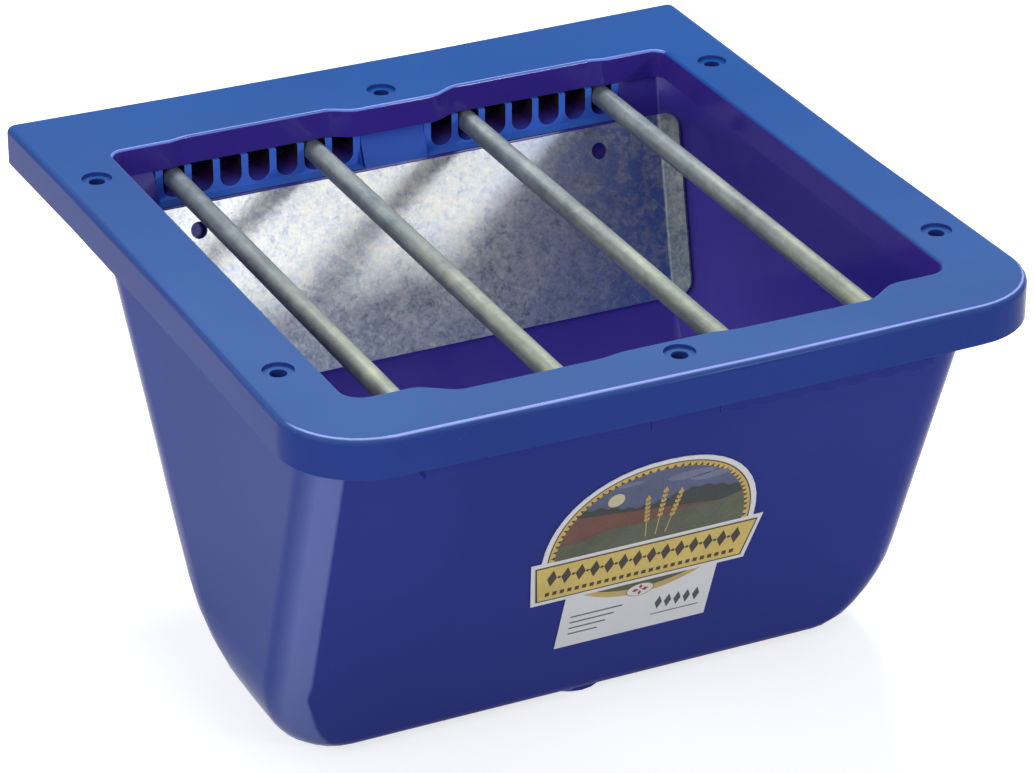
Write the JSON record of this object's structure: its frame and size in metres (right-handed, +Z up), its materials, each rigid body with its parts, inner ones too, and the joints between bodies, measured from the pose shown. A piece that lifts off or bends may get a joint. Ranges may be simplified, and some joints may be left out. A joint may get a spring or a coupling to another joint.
{
  "type": "foal feeder",
  "caption": "Deep blue moulded feed tub with a screwed-on rim frame, loose round grate bars set in rows of sockets, a bolted steel back plate and a front label.",
  "frame": {"origin": "on the underside of the flange behind the rear sockets, midway across, where the feeder rests on a fence board", "axes": "+X to the feeder's right as seen from the front, +Y from the front to the fence, +Z up"},
  "size_m": [0.325, 0.3385, 0.1981],
  "materials": {
    "tub_plastic": "blue moulded plastic, soft gloss",
    "rim_plastic": "blue moulded plastic, soft gloss, fine grain on top",
    "galvanised_steel": "galvanised sheet with spangles",
    "bar_zinc": "dull zinc-plated rod",
    "screw_steel": "dark coated screw",
    "label_paper": "printed vinyl sticker"
  },
  "bodies": {
    "feeder": {"tub": "tub_plastic", "rim_frame": "rim_plastic", "socket_row_front_left": "tub_plastic", "socket_row_front_right": "tub_plastic", "socket_row_back_left": "tub_plastic", "socket_row_back_right": "tub_plastic", "back_plate": "galvanised_steel", "front_label": "label_paper", "frame_screw_1": "screw_steel", "frame_screw_2": "screw_steel", "frame_screw_3": "screw_steel", "frame_screw_4": "screw_steel", "frame_screw_5": "screw_steel", "frame_screw_6": "screw_steel"},
    "bar_1": {"grate_bar_1": "bar_zinc"},
    "bar_2": {"grate_bar_2": "bar_zinc"},
    "bar_3": {"grate_bar_3": "bar_zinc"},
    "bar_4": {"grate_bar_4": "bar_zinc"}
  },
  "joints": [
    {"name": "bar_1_spin", "type": "hinge", "parent": "feeder", "child": "bar_1", "pos_m": [-0.103, -0.16165, -0.0018], "axis": [0, 1, 0], "continuous": true},
    {"name": "bar_2_spin", "type": "hinge", "parent": "feeder", "child": "bar_2", "pos_m": [-0.037, -0.16165, -0.0018], "axis": [0, 1, 0], "continuous": true},
    {"name": "bar_3_spin", "type": "hinge", "parent": "feeder", "child": "bar_3", "pos_m": [0.037, -0.16165, -0.0018], "axis": [0, 1, 0], "continuous": true},
    {"name": "bar_4_spin", "type": "hinge", "parent": "feeder", "child": "bar_4", "pos_m": [0.103, -0.16165, -0.0018], "axis": [0, 1, 0], "continuous": true}
  ]
}
